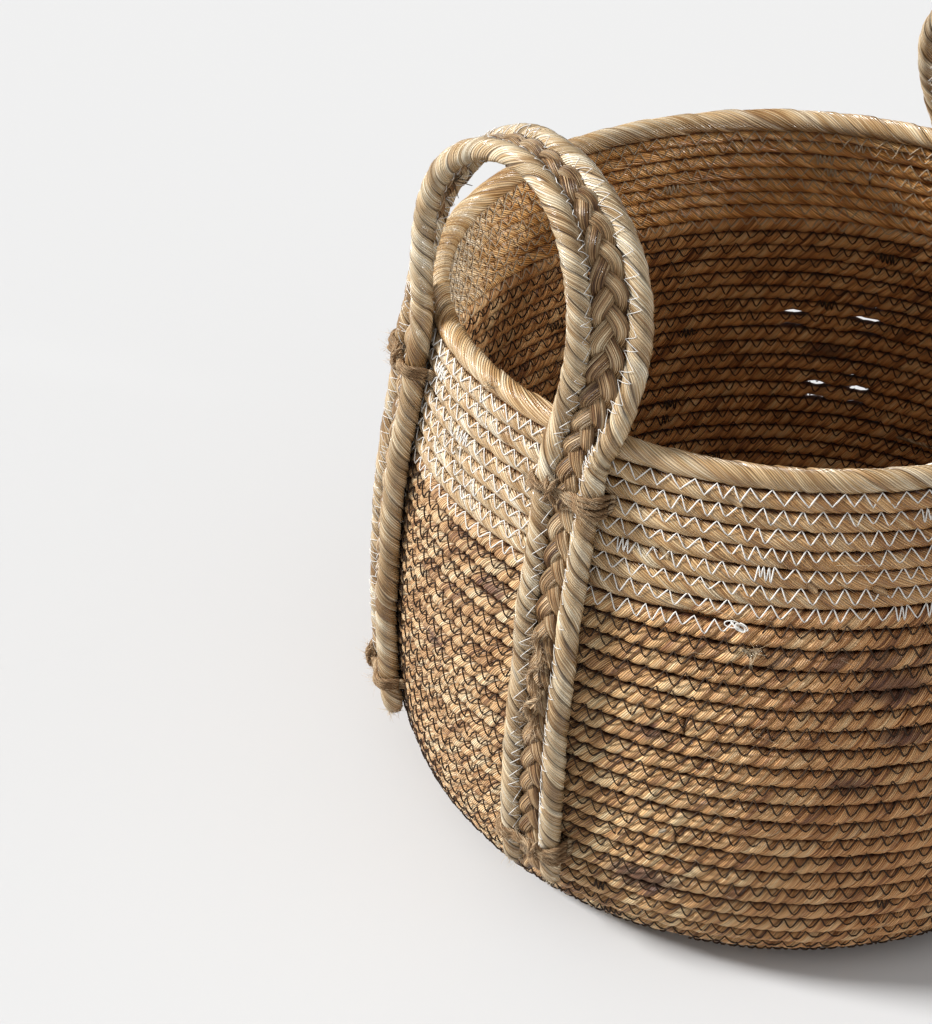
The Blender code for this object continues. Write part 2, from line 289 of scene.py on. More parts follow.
def fibre_finish(name, shades, odd, odd_share, plies, unlike, skew, patch, strips, lines, edge, edge_shade,
                 roughness, gloss, relief, slits=0.85, groove_painted_shade=None, inner_painted_light=None, left_inner_painted_light=None,
                 cool_painted_light=None, warm_painted_shade=None, stains=()):
    """Bundled plant fibre. The tone drifts from ply to ply and along them, odd patches are of another
    colour, narrow strips and ridged lines run along each ply, and the ply's edges are dark in places,
    partly as painted shade. A sewn rope gets painted shade and dirt in the grooves between the rows,
    painted cool light on the outside on one side of the basket and painted warm shade on the other, and
    painted warm light on the inside, with more painted light on the inside of the left wall."""
    material, shader, wire = new_finish(name)
    strand = wire.node("UVMap", {"uv_map": "strand"}, {})
    along = wire.node("SeparateXYZ", {}, {0: strand}, "X")
    around = wire.node("SeparateXYZ", {}, {0: strand}, "Y")
    ply = wire.node("Math", {"operation": "FLOOR"}, {0: around * plies})
    across = around * plies - ply
    place = along - across * skew

    def cloud(x, y, layer, detail):
        at = wire.node("CombineXYZ", {}, {"X": x, "Y": y, "Z": layer})
        noise = {"Vector": at, "Scale": 1.0, "Detail": detail, "Roughness": 0.6}
        return wire.node("TexNoise", {}, noise) - 0.5

    def ease(value, low, high):
        return wire.node("MapRange", {"interpolation_type": "SMOOTHSTEP"}, {0: value, 1: low, 2: high})

    def blend(kind, share, under, over):
        mix = {"data_type": "RGBA", "blend_type": kind}
        return wire.node("Mix", mix, {0: share, 6: under, 7: (*over, 1.0)}, 2)

    fibre = cloud(along * (lines * 0.4), around * lines, 3.0, 2.0)
    hair = cloud(along * (lines * 1.2), around * (lines * 2.4), 5.0, 1.0)
    ridge = wire.node("Math", {"operation": "SINE"}, {0: around * (math.tau * lines) + fibre * 8.0})
    tone = cloud(place * patch, ply * unlike, 0.0, 2.0) * 2.0
    tone = tone + cloud(place * (patch * 1.6), around * strips, 1.0, 1.0) * 1.5
    tone = tone + fibre * 1.3 + hair * 1.6 + 0.5
    colour = wire.node("ValToRGB", {"stops": shades}, {0: tone})
    strange = cloud(place * (patch * 0.4), ply * (unlike * 0.4), 9.0, 2.0) + fibre * 0.4
    colour = blend("MIX", ease(strange, odd_share, odd_share + 0.1) * 0.8, colour, odd)
    spot = wire.node("TexCoord", {}, {}, "Object")
    flat = 2.2
    drawn_up = wire.node("VectorMath", {"operation": "MULTIPLY"}, {0: spot, 1: (1.0, 1.0, flat)})
    for x, y, z, reach in stains:
        stain = {0: drawn_up, 1: (x, y, flat * z)}
        far = wire.node("VectorMath", {"operation": "DISTANCE"}, stain, "Value")
        colour = blend("MIX", ease(far + (fibre + hair) * 0.02, reach, reach * 0.4) * 0.8, colour, odd)
    slit = ease(ridge, 0.5, -0.9) * ease(hair + fibre, -0.2, 0.06) * slits
    colour = blend("MULTIPLY", slit, colour, SLIT_SHADE)
    # Dark ply edges: partly a dark line on the fibre, partly painted shade where one ply meets the next,
    # broken up along the ply
    shade = ease(across, edge, 0.0) + ease(across, 1 - edge * 1.2, 1.0) * 0.8
    closed = ease(cloud(along * 55, ply * 3.7, 13.0, 1.0), 0.22, -0.1)
    colour = blend("MULTIPLY", shade * (closed * 0.75 + 0.2), colour, edge_shade)
    # Painted shade, with some dirt, in the grooves between rows: deepest just under the row above, lighter
    # inside the left wall
    if groove_painted_shade:
        turned = wire.node("UVMap", {"uv_map": "section"}, {})
        section = wire.node("SeparateXYZ", {}, {0: turned}, "X") * math.tau
        front = wire.node("Math", {"operation": "COSINE"}, {0: section})
        depth = wire.node("Math", {"operation": "ABSOLUTE"}, {0: front})
        depth = depth - 0.1 * wire.node("Math", {"operation": "SINE"}, {0: section}) + hair * 0.3
        lit = ease(wire.node("SeparateXYZ", {}, {0: spot}, "X"), -0.03, -0.14)
        inner = ease(front, 0.1, -0.3)
        colour = blend("MULTIPLY", ease(depth, 0.62, 0.22) * (1 - 0.6 * lit * inner), colour, groove_painted_shade)
        # Painted light outside: cooler and paler towards the key light, and painted warm shade on the side
        # away from it
        sideways = wire.node("VectorMath", {"operation": "DOT_PRODUCT"}, {0: spot, 1: PAINTED_SHADE_SIDE}, "Value")
        outer = ease(front, -0.3, 0.1)
        colour = blend("MULTIPLY", outer * ease(sideways, -0.03, -0.18), colour, cool_painted_light)
        colour = blend("MULTIPLY", outer * ease(sideways, -0.08, 0.05), colour, warm_painted_shade)
        # Painted light inside: a warmer, brighter tint for light bounced round the inside, and more painted
        # light inside the left wall
        colour = blend("MULTIPLY", inner * (1 - lit), colour, inner_painted_light)
        colour = blend("MULTIPLY", inner * lit, colour, left_inner_painted_light)
    colour.feed(shader.inputs["Base Color"])
    height = fibre * 0.5 + hair * 0.35 + ridge * 0.25
    bump = wire.node("Bump", {}, {"Height": height, "Strength": 1.0, "Distance": relief})
    bump.feed(shader.inputs["Normal"])
    rough = fibre * 0.4 + roughness
    rough.feed(shader.inputs["Roughness"])
    shader.inputs["Specular IOR Level"].default_value = gloss
    return material


dark_fibre = fibre_finish(
    "dark_fibre",
    ((0.0, (0.22, 0.10, 0.042)), (0.25, (0.56, 0.30, 0.12)), (0.45, (0.83, 0.49, 0.21)),
     (0.65, (0.92, 0.61, 0.295)), (1.0, (0.96, 0.77, 0.46))),
    odd=(0.15, 0.07, 0.05), odd_share=0.14, plies=3, unlike=0.6, skew=0.011,
    patch=20.0, strips=8.0, lines=21.0,
    edge=0.07, edge_shade=(0.17, 0.09, 0.055), roughness=0.45, gloss=0.4, relief=0.0012,
    # The tints below: painted groove shade, painted light inside, and painted light and shade outside
    groove_painted_shade=(0.15, 0.08, 0.05), inner_painted_light=(1.05, 0.9, 0.76), left_inner_painted_light=(1.2, 1.25, 1.35),
    cool_painted_light=(0.95, 0.99, 1.12), warm_painted_shade=(0.95, 0.80, 0.71),
    stains=((-0.080, -0.182, 0.189, 0.024), (-0.176, -0.116, 0.059, 0.026), (-0.102, -0.182, 0.135, 0.017),
            (-0.201, -0.016, 0.192, 0.015), (-0.172, -0.113, 0.154, 0.013), (-0.077, -0.190, 0.161, 0.017),
            (-0.211, 0.026, 0.134, 0.015), (0.150, 0.140, 0.120, 0.022), (0.190, -0.070, 0.170, 0.018),
            (-0.020, 0.205, 0.080, 0.020)),
)
PLY_PROFILE = ((0.0, 0.78), (0.07, 0.92), (0.2, 0.99), (0.4, 1.02), (0.6, 1.01), (0.8, 0.965), (0.93, 0.87))
DARK_LAY = 0.025
first_turn = 0.35
sections = (
    ("dark_rope_floor", first_turn, FLOOR_ROWS, 0.0026, ("floor_coil",)),
    ("dark_rope_lower_wall", FLOOR_ROWS, FLOOR_ROWS + 7, 0.002, ("dark_wall_coil",)),
    ("dark_rope_middle_wall", FLOOR_ROWS + 7, FLOOR_ROWS + 13, 0.002, ("dark_wall_coil",)),
    ("dark_rope_upper_wall", FLOOR_ROWS + 13, SPLICE + 0.012, 0.002, ("dark_wall_coil",)),
)
# Where daylight shows between two rows: the angle and height, the reach round the wall, and by what
# share the rope is thinner there
WALL_RADIUS, THIN_SPAN = 0.2, 0.0105
thin_places = ((139.3, 0.1510, 0.0068, 0.36), (126.9, 0.1500, 0.0095, 0.38), (134.6, 0.0963, 0.0062, 0.36),
               (127.6, 0.0973, 0.0090, 0.355))
for name, start, end, step, replaced in sections:
    turns, angle, along = wind(start, end, step)
    twist = -math.tau * along / DARK_LAY + 1.1 * drift(along, 0.06, 11)
    size = np.interp(turns, (start, SPLICE - 0.02, SPLICE + 0.012), (1, 1, 0.45))
    if start == first_turn:
        size = np.interp(along, (0, 0.02), (0.6, 1))
    points, around, section = lay_rope(turns, angle, along, 3, PLY_PROFILE, twist, size, 20 + int(start))
    core = points.mean(axis=0)
    for place, height, reach, thinner in thin_places:
        aside = (angle - math.radians(place) + math.pi) % math.tau - math.pi
        near = np.exp(-((WALL_RADIUS * aside / reach) ** 4)) * (np.abs(core[:, 2] - height) < THIN_SPAN)
        points = core + (points - core) * (1 - thinner * near)[None, :, None]
    skin(name, points, along + start, around, dark_fibre, replaced, section)


# The pale rope: the same wall goes on in rope wrapped with broad straw-coloured husk, whose edges
# cross each row from upper left to lower right. Its first turn starts beside the dark rope's end,
# and its last thins out under the rim.
pale_fibre = fibre_finish(
    "pale_fibre",
    ((0.0, (0.40, 0.21, 0.075)), (0.27, (0.62, 0.38, 0.155)), (0.5, (0.80, 0.53, 0.25)),
     (0.72, (0.87, 0.65, 0.37)), (1.0, (0.94, 0.79, 0.54))),
    odd=(0.42, 0.23, 0.09), odd_share=0.15, plies=3, unlike=1.5, skew=0.02,
    patch=24.0, strips=7.0, lines=22.0,
    edge=0.04, edge_shade=(0.24, 0.13, 0.065), roughness=0.33, gloss=0.8, relief=0.0012, slits=0.95,
    # The tints below: painted groove shade, painted light inside, and painted light and shade outside
    groove_painted_shade=(0.28, 0.17, 0.09), inner_painted_light=(1.22, 0.95, 0.62), left_inner_painted_light=(1.22, 1.5, 2.1),
    cool_painted_light=(1.0, 1.09, 1.30), warm_painted_shade=(0.94, 0.78, 0.62),
)
PALE_LAY = 0.041
HUSK_PROFILE = ((0.0, 0.90), (0.025, 1.025), (0.15, 1.03), (0.3, 1.02), (0.5, 1.0), (0.7, 0.98),
                (0.88, 0.945))
for name, start, end in (("pale_rope_lower_band", SPLICE - 0.012, SPLICE + 3.5),
                         ("pale_rope_upper_band", SPLICE + 3.5, LEVELS[-1] - 0.46)):
    turns, angle, along = wind(start, end, 0.0018)
    twist = math.tau * along / PALE_LAY + 1.6 * drift(along, 0.05, 31)
    size = np.interp(along, (0, 0.05), (0.4, 1)) if start < SPLICE else np.ones_like(along)
    points, around, section = lay_rope(turns, angle, along, 3, HUSK_PROFILE, twist, size, 40 + int(start))
    skin(name, points, along + start, around, pale_fibre, ("pale_band_coil",), section)


# The rim: one thicker coil wrapped in wide husk, each wrap laid over the end of the one before it.
husk_fibre = fibre_finish(
    "husk_fibre",
    ((0.0, (0.34, 0.18, 0.065)), (0.27, (0.54, 0.335, 0.145)), (0.5, (0.70, 0.475, 0.245)),
     (0.72, (0.79, 0.60, 0.36)), (1.0, (0.88, 0.74, 0.53))),
    odd=(0.40, 0.22, 0.09), odd_share=0.12, plies=2, unlike=1.7, skew=0.02,
    patch=24.0, strips=8.0, lines=24.0,
    edge=0.03, edge_shade=(0.13, 0.07, 0.035), roughness=0.27, gloss=0.8, relief=0.001, slits=0.9,
)
WRAP_PROFILE = ((0.0, 0.88), (0.025, 1.045), (0.15, 1.04), (0.3, 1.02), (0.45, 1.0), (0.6, 0.98),
                (0.75, 0.96), (0.9, 0.93))
WRAP_LAY = 0.046
along = np.arange(0, math.tau * RIM[0], 0.0016)
angle = math.radians(-70) - math.tau * along / along[-1]
around, height = ply_grid(WRAP_PROFILE, 2)
twist = math.tau * along / WRAP_LAY + 2.6 * drift(along, 0.06, 51)
uneven = 0.05 * drift(along, 0.05, 52) + 0.03 * drift(along, 0.014, 53)
fat = 1 + uneven * np.sin(math.pi * along / along[-1])
middle = outline[-1] - outline_out[-1] * RIM_RADIUS
points = []
for place, high in zip(around, height):
    reach = RIM_RADIUS * high * fat
    turn = math.tau * place + twist
    points.append(polar(angle, middle[0] + reach * np.cos(turn), middle[1] + reach * np.sin(turn)))
skin("rim_husk_coil", np.array(points), along, around, husk_fibre, ("rim_coil",))


# The sewing: each row is sewn to the one below by a zigzag of thread outside and inside, white on
# the pale rows and dark brown on the dark ones. Stitches vary, and some are bunched.
def thread_finish(name, colour, roughness):
    """Dull spun thread, with its twist as fine darker bands."""
    material, shader, wire = new_finish(name)
    strand = wire.node("UVMap", {"uv_map": "strand"}, {})
    twist = wire.node("TexWave", {"bands_direction": "DIAGONAL"},
                      {"Vector": strand, "Scale": 300.0, "Distortion": 1.0})
    dim = wire.node("Mix", {"data_type": "RGBA"}, {"Factor": twist * 0.5}, 2)
    dim.socket.node.inputs[6].default_value = (*colour, 1.0)
    dim.socket.node.inputs[7].default_value = (*[0.55 * part for part in colour], 1.0)
    dim.feed(shader.inputs["Base Color"])
    shader.inputs["Roughness"].default_value = roughness
    shader.inputs["Specular IOR Level"].default_value = 0.15
    return material


def square_up(path, out):
    """The way along a path, the way out of it made square to that, and the way to its side."""
    run = np.gradient(path, axis=0)
    run /= np.linalg.norm(run, axis=1)[:, None]
    out = out - run * (out * run).sum(1)[:, None]
    out /= np.linalg.norm(out, axis=1)[:, None]
    return run, out, np.cross(run, out)


def shifted(path, *moves):
    """A path moved along some ways, each given after how far it goes that way at each point."""
    for distance, way in moves:
        path = path + distance[:, None] * way
    return path


def between(share, *rows):
    """Values at these shares of the way from each tip of a zigzag to the next, for each row of them."""
    return [(row[:-1, None] * (1 - share) + row[1:, None] * share).reshape(-1) for row in rows]


def tube(path, out, radius, sides):
    """A round tube's surface along a path, with out the way its first side faces."""
    _, out, beside = square_up(path, out)
    around = np.linspace(0, 1, sides + 1)
    radius = np.broadcast_to(radius, len(path))[:, None]
    return np.array([path + radius * (math.cos(math.tau * turn) * out + math.sin(math.tau * turn) * beside)
                     for turn in around]), around


def lay_thread(name, path, out, along, radius, sides, material):
    """One thread along a path, as a closed tube."""
    points, around = tube(path, out, radius, sides)
    skin(name, points, along, around, material)


def zigzag(first, last, kind, face, seed, bunches):
    """The path of the stitches over one long groove, the way out of the wall, and the length sewn."""
    pitch, up, down, thick = kind
    turns, _, along = wind(first, last, 0.002)
    random = np.random.default_rng(seed)
    count = int(along[-1] / pitch * 2.6)
    steps = pitch / 2 * random.uniform(0.72, 1.28, count)
    for start in random.integers(0, count - 8, bunches):
        steps[start:start + random.integers(4, 9)] *= 0.28
    tips = np.cumsum(steps)
    tips = tips[tips < along[-1]]
    if len(tips) % 2:
        tips = tips[:-1]
    sign = np.where(np.arange(len(tips)) % 2 == 0, up, -down) * random.uniform(0.66, 1.2, len(tips))
    share = np.array((0.0, 0.22, 0.5, 0.78)) if up < down * 0.6 else np.array((0.0, 0.3, 0.7))
    bent = 0.55 * share + 0.225 * (1 - np.cos(math.pi * share))
    (at,), (across,) = between(share, tips), between(bent, sign)
    turned = np.interp(at, along, turns)
    level = climb(turned)
    angle = SPLICE_ANGLE - math.tau * turned
    half = ROPE_THICK / 2
    tip_out = half * np.clip(1 - np.abs(1 - np.abs(sign) / half) ** SQUARE, 0, 1) ** (1 / SQUARE) - half
    (out,) = between(share, tip_out)
    out += np.where(np.arange(len(out)) % len(share) == 0, -0.2, 0.6) * thick
    if face < 0:
        out = -ROPE_THICK - out
    station_here = row_station(level) + across
    path = on_wall(angle, station_here, out)
    return path, face * (on_wall(angle, station_here, out + 0.001) - path), at


white_thread = thread_finish("white_thread", (0.88, 0.86, 0.82), 0.7)
# The white thread inside the basket is darkened to straw as painted shade
white_thread_painted_shade = thread_finish("white_thread_painted_shade", (0.50, 0.40, 0.28), 0.6)
dark_thread = thread_finish("dark_thread", (0.045, 0.027, 0.017), 0.8)
# Each kind of zigzag: its pitch, how far it reaches up and down, and the thread's thickness
DARK_ZIGZAG, FLOOR_ZIGZAG = (0.0092, 0.0036, 0.0040, 0.0009), (0.0100, 0.0036, 0.0040, 0.0010)
WHITE_ZIGZAG, STRAW_ZIGZAG = (0.0092, 0.0018, 0.0052, 0.0007), (0.0092, 0.0018, 0.0050, 0.0007)
seams = (
    ("dark_outer_stitches", FLOOR_ROWS, SPLICE - 0.02, DARK_ZIGZAG, 1, 61, 40, dark_thread),
    ("dark_inner_stitches", FLOOR_ROWS, SPLICE - 0.03, DARK_ZIGZAG, -1, 62, 40, dark_thread),
    ("floor_upper_stitches", 1, FLOOR_ROWS, FLOOR_ZIGZAG, -1, 63, 10, dark_thread),
    ("floor_lower_stitches", 1, FLOOR_ROWS, FLOOR_ZIGZAG, 1, 64, 10, dark_thread),
    ("white_outer_stitches", SPLICE - 0.018, LEVELS[-1] - 0.4, WHITE_ZIGZAG, 1, 65, 30, white_thread),
    ("white_inner_stitches", SPLICE - 0.03, LEVELS[-1] - 0.4, STRAW_ZIGZAG, -1, 66, 30, white_thread_painted_shade),
)
for name, first, last, kind, face, seed, bunches, material in seams:
    path, out, along = zigzag(first, last, kind, face, seed, bunches)
    slot = "dark_rope" if material is dark_thread else "pale_rope"
    lay_thread(name, path, out, along, kind[-1] / 2, 4, material)
# The rim's own groove is level all the way round
for name, face, seed, material in (("rim_outer_stitches", 1, 67, white_thread),
                                   ("rim_inner_stitches", -1, 68, white_thread_painted_shade)):
    random = np.random.default_rng(seed)
    tips = np.cumsum(0.0046 * random.uniform(0.72, 1.28, 260))
    tips = tips[tips < math.tau * RIM[0]]
    tips = tips * (math.tau * RIM[0] / tips[-1])
    side = np.where(np.arange(len(tips)) % 2 == 0, 0.0016, -0.0052) * random.uniform(0.8, 1.15, len(tips))
    lift = np.where(side > 0, -0.0012, 0.0003)
    at, across, out = between(np.array((0.0, 0.33, 0.67)), tips, side, lift)
    out = out if face > 0 else -ROPE_THICK - out
    path = on_wall(at / RIM[0], PALE_TOP + across, out)
    outwards = face * (on_wall(at / RIM[0], PALE_TOP + across, out + 0.001) - path)
    lay_thread(name, path, outwards, at, 0.00042, 4, material)


# A handle: two cords wrapped in fine husk, with a braid between them and white stitches along both
# seams. The band runs up one leg, over as a loop, and down the other leg.
HANDLES = ((-1, "left_handle"), (1, "right_handle"))
HANDLE_ANGLE, LEG_SPREAD, LEG_SPLAY = math.radians(92.0), math.radians(21.0), math.radians(1.7)
LEG_FOOT, LEG_TOP = 0.043, 0.290
CORD_RADIUS = 0.0056
CORD_OUT = CORD_RADIUS + 0.0003
LEG_SPACING, ARCH_SPACING = 0.0240, (0.0205, 0.028, 0.0240)
ARCH_RISE, ARCH_LEAN, ARCH_BROADER = 0.157, 0.034, 0.048
LEG_MARKS, ARCH_MARKS, EASED_MARKS = 120, 240, 19
CORD_LAY, BRAID_LAY = 0.034, 0.045


def leg_place(handle, side, height_share):
    """Where a leg lies round the wall, and its distance along the wall's outline."""
    foot, top = wall_station(LEG_FOOT), wall_station(LEG_TOP)
    angle = handle * (HANDLE_ANGLE + LEG_SPLAY * (1 - height_share)) + side * LEG_SPREAD
    return angle, foot + (top - foot) * height_share


def leg_angle(handle, side, height):
    """The angle at which a leg passes a distance along the wall's outline."""
    foot, top = wall_station(LEG_FOOT), wall_station(LEG_TOP)
    return leg_place(handle, side, (height - foot) / (top - foot))[0]


def band_line(handle):
    """The length along the band, its middle, the way across to the inside of the loop, the way out of
    its face, and how far apart its two cords are."""
    facing = handle * HANDLE_ANGLE
    outward = np.array([math.sin(facing), -math.cos(facing), 0])
    sideways = np.array([math.cos(facing), math.sin(facing), 0])
    share = np.linspace(0, 1, LEG_MARKS, endpoint=False)
    centres, ways, spacing = [], [], []
    for side in (-1, 1):
        angle, height = leg_place(handle, side, share)
        centre = on_wall(angle, height, CORD_OUT)
        across = -side * np.stack([np.cos(angle), np.sin(angle), 0 * angle], 1)
        centres.append(centre if side < 0 else centre[::-1])
        ways.append(across if side < 0 else across[::-1])
    first, last = (on_wall(*leg_place(handle, side, 1.0), CORD_OUT) for side in (-1, 1))
    rise = np.array([0, 0, ARCH_RISE]) - outward * ARCH_LEAN
    broader = sideways * ARCH_BROADER
    arch = bezier((first, first + rise - broader, last + rise + broader, last), ARCH_MARKS)
    place = np.linspace(-1, 1, ARCH_MARKS)
    swing = np.sign(place) * np.abs(place) ** 1.6 * math.radians(90)
    local = facing + place * LEG_SPREAD - swing
    centre = np.vstack([centres[0], arch, centres[1]])
    across = np.vstack([ways[0], np.stack([np.sin(local), -np.cos(local), 0 * local], 1), ways[1]])
    leg_wide = np.full(LEG_MARKS, LEG_SPACING)
    wide = np.concatenate([leg_wide, np.interp(np.abs(place), (0, 0.6, 1), ARCH_SPACING), leg_wide])
    length = np.concatenate([[0], np.cumsum(np.linalg.norm(np.diff(centre, axis=0), axis=1))])
    along = np.arange(0, length[-1], 0.0014)
    both = np.column_stack([centre, across, wide])
    both = np.stack([np.interp(along, length, both[:, column]) for column in range(7)], 1)
    kernel = np.hanning(EASED_MARKS) / np.hanning(EASED_MARKS).sum()
    margin = EASED_MARKS // 2
    padded = np.vstack([np.repeat(both[:1], margin, 0), both, np.repeat(both[-1:], margin, 0)])
    eased = np.stack([np.convolve(padded[:, column], kernel, "valid") for column in range(7)], 1)
    ease = np.clip(np.minimum(along, along[-1] - along) / 0.02, 0, 1)[:, None]
    both = both * (1 - ease) + eased * ease
    _, across, face = square_up(both[:, :3], both[:, 3:6])
    return along, both[:, :3], across, face, both[:, 6]


cord_fibre = fibre_finish(
    "cord_fibre",
    ((0.0, (0.28, 0.155, 0.06)), (0.27, (0.50, 0.33, 0.16)), (0.5, (0.70, 0.51, 0.295)),
     (0.72, (0.84, 0.68, 0.44)), (1.0, (0.94, 0.84, 0.64))),
    odd=(0.50, 0.31, 0.15), odd_share=0.25, plies=3, unlike=1.7, skew=0.005,
    patch=30.0, strips=7.0, lines=24.0,
    edge=0.10, edge_shade=(0.08, 0.04, 0.018), roughness=0.26, gloss=0.75, relief=0.0010, slits=0.75,
)
leaf_fibre = fibre_finish(
    "leaf_fibre",
    ((0.0, (0.10, 0.045, 0.016)), (0.27, (0.30, 0.16, 0.065)), (0.5, (0.56, 0.36, 0.175)),
     (0.72, (0.74, 0.535, 0.31)), (1.0, (0.87, 0.72, 0.49))),
    odd=(0.24, 0.13, 0.055), odd_share=0.12, plies=6, unlike=2.3, skew=0.0,
    patch=42.0, strips=20.0, lines=30.0,
    edge=0.08, edge_shade=(0.12, 0.065, 0.03), roughness=0.42, gloss=0.5, relief=0.0011, slits=1.0,
)
RIBBON_EDGES = (0.0, 0.24, 0.63, 1.0)
CORD_PROFILE = [
    ((fold + at) / 3, RIBBON_EDGES[fold] * (1 - at) + RIBBON_EDGES[fold + 1] * at, high)
    for fold in range(3) for at, high in ((0.0, 0.87), (0.06, 1.055), (0.35, 1.04), (0.7, 0.99), (0.93, 0.94))
] + [(1.0, 1.0, 0.87)]
STRIP_SECTION = [
    ((fold + at) / 6, math.pi * (fold + at) / 3, high)
    for fold in range(6) for at, high in ((0.0, 0.88), (0.1, 1.02), (0.5, 1.03), (0.9, 0.99))
] + [(1.0, math.tau, 0.88)]
for handle, handle_name in HANDLES:
    along, centre, across, face, wide = band_line(handle)
    cord_ends = np.clip(np.minimum(along, along[-1] - along) / 0.004, 0, 1)
    for side, cord_name in ((1, "inner_cord"), (-1, "outer_cord")):
        seed = 80 + 10 * handle + side
        sway = 0.0007 * cord_ends
        path = shifted(centre, (side * wide / 2, across), (sway * drift(along, 0.028, seed), across),
                       (sway * drift(along, 0.035, seed + 2), face))
        _, out, beside = square_up(path, face)
        twist = -math.tau * along / CORD_LAY - 1.8 * drift(along, 0.05, seed + 4)
        twist = twist - 0.5 * drift(along, 0.016, seed + 3)
        fat = CORD_RADIUS * (1 + 0.035 * drift(along, 0.03, seed + 5) + 0.025 * drift(along, 0.009, seed + 6))
        fat = fat * (0.8 + 0.2 * cord_ends)
        points = []
        for _, place, high in CORD_PROFILE:
            high = high + 0.014 * drift(along, 0.012, seed + 7 + int(20 * place) % 20)
            turn = math.tau * place + twist
            high = fat * high
            points.append(shifted(path, (high * np.cos(turn), out), (high * np.sin(turn), beside)))
        points[-1] = points[0]
        around = np.array([strip for strip, _, _ in CORD_PROFILE])
        skin(f"{handle_name}_{cord_name}_wrap", np.array(points), along, around, cord_fibre,
             (f"{handle_name}_{cord_name}",))
    for strand in range(3):
        turn = math.tau * (along / BRAID_LAY + strand / 3)
        reach = wide / 2 - CORD_RADIUS - 0.0024
        path = shifted(centre, (reach * np.sin(turn), across), (-0.0019 * np.sin(2 * turn), face))
        _, out, beside = square_up(path, face)
        broad = 0.0038 * (1 + 0.14 * drift(along, 0.02, 90 + strand)) * (0.7 + 0.3 * cord_ends)
        thin = 0.0020 * (1 + 0.15 * drift(along, 0.008, 94 + strand)) * (0.7 + 0.3 * cord_ends)
        points = []
        for _, turned, high in STRIP_SECTION:
            flat = math.copysign(abs(math.cos(turned)) ** 0.8, math.cos(turned))
            crown = math.copysign(abs(math.sin(turned)) ** 0.6, math.sin(turned))
            flat = broad * (0.7 + 0.3 * high) * flat
            points.append(shifted(path, (flat, beside), (thin * high * crown, out)))
        skin(f"{handle_name}_braid_strand_{strand + 1}", np.array(points), along + 2.0 * strand,
             np.array([place for place, _, _ in STRIP_SECTION]), leaf_fibre,
             (f"{handle_name}_braid",))
    for side in (1, -1):
        for front in (1, -1):
            random = np.random.default_rng(100 + 7 * side + 3 * front + 31 * handle)
            tips = np.cumsum(np.tile((0.0016, 0.0056), 200) * random.uniform(0.45, 1.7, 400))
            tips = tips[(tips > 0.014) & (tips < along[-1] - 0.014)]
            on_cord = np.arange(len(tips)) % 2 == 0
            uneven = 0.0017 * random.uniform(-1, 1, len(tips))
            spread = np.where(on_cord, -0.0016 - 0.0006 * side + uneven, -0.0064)
            at, spread = between(np.array((0.0, 0.2, 0.4, 0.6, 0.8)), tips, spread)
            lift = np.sqrt(np.clip((1.045 * CORD_RADIUS) ** 2 - spread**2, 0.0016**2, 1)) + 0.0001
            columns = np.column_stack([centre, across, face, wide]).T
            pick = np.stack([np.interp(at, along, column) for column in columns], 1)
            outwards = front * pick[:, 6:9]
            aside = side * (pick[:, 9] / 2 + spread)
            path = shifted(pick[:, :3], (aside, pick[:, 3:6]), (lift + 0.0002, outwards))
            seam_name = ("inner" if side > 0 else "outer") + ("_front" if front > 0 else "_back")
            lay_thread(f"{handle_name}_{seam_name}_stitches", path, outwards, at, 0.00018, 4, white_thread)


# The ties: hairy jute yarn taken round both cords of a leg and through the wall in four turns that
# fan out from a knot on the braid side of one cord. The yarn's two plies are loosely twisted.
YARN, YARN_LAY = 0.0017, 0.015


def ply_yarn(name, path, out, radius, replaced):
    """Two plies of jute twisted together, as one closed tube."""
    length = np.concatenate([[0], np.cumsum(np.linalg.norm(np.diff(path, axis=0), axis=1))])
    along = np.arange(0, length[-1], 0.0011)
    path, out = (np.stack([np.interp(along, length, column) for column in value.T], 1)
                 for value in (path, out))
    _, out, beside = square_up(path, out)
    around, height = ply_grid(((0.0, 0.68), (0.15, 0.92), (0.35, 1.0), (0.65, 1.0), (0.85, 0.92)), 2)
    ends = np.clip(np.minimum(along, along[-1] - along) / 0.003, 0.25, 1)
    reach = radius * ends * (1 + 0.12 * drift(along, 0.006, len(name)))
    points = []
    for place, high in zip(around, height):
        turn = math.tau * place + math.tau * along / YARN_LAY
        high = reach * high
        points.append(shifted(path, (high * np.cos(turn), out), (high * 0.8 * np.sin(turn), beside)))
    skin(name, np.array(points), along, around, jute_fibre, replaced)


def frizz(name, path, ways, count, length, thick, lie, material, seed):
    """Short loose fibres along a path, as one mesh of thin tapered tubes. They grow along the ways
    given, and the more they lie, the more they follow the path instead."""
    random = np.random.default_rng(seed)
    run = np.gradient(path, axis=0)
    run /= np.linalg.norm(run, axis=1)[:, None]
    pieces = bmesh.new()
    for start in random.integers(1, len(path) - 1, count):
        grow = ways[start] / np.linalg.norm(ways[start]) * random.uniform(0.1, 0.8) + random.normal(0, 0.5, 3)
        grow = grow / np.linalg.norm(grow) * (1 - lie) + run[start] * lie * random.choice((-1, 1))
        grow /= np.linalg.norm(grow)
        bend = random.normal(0, 0.4, 3)
        reach = length * random.uniform(0.4, 1.3)
        share = np.linspace(0, 1, 5)[:, None]
        line = path[start] + reach * (grow * share + bend * share**2)
        out = np.tile(np.cross(grow, (0.3, 0.5, 0.81)), (5, 1))
        points, _ = tube(line, out, thick * (1 - 0.7 * share[:, 0]), 3)
        made = bmesh.ops.create_grid(pieces, x_segments=4, y_segments=3, size=1)["verts"]
        for vert, point in zip(made, draw_oval(points).reshape(-1, 3)):
            vert.co = point
    piece = close_piece(name, pieces, bpy.data.meshes.new(name), 1e-7, material)
    piece.data.uv_layers.new(name="strand")


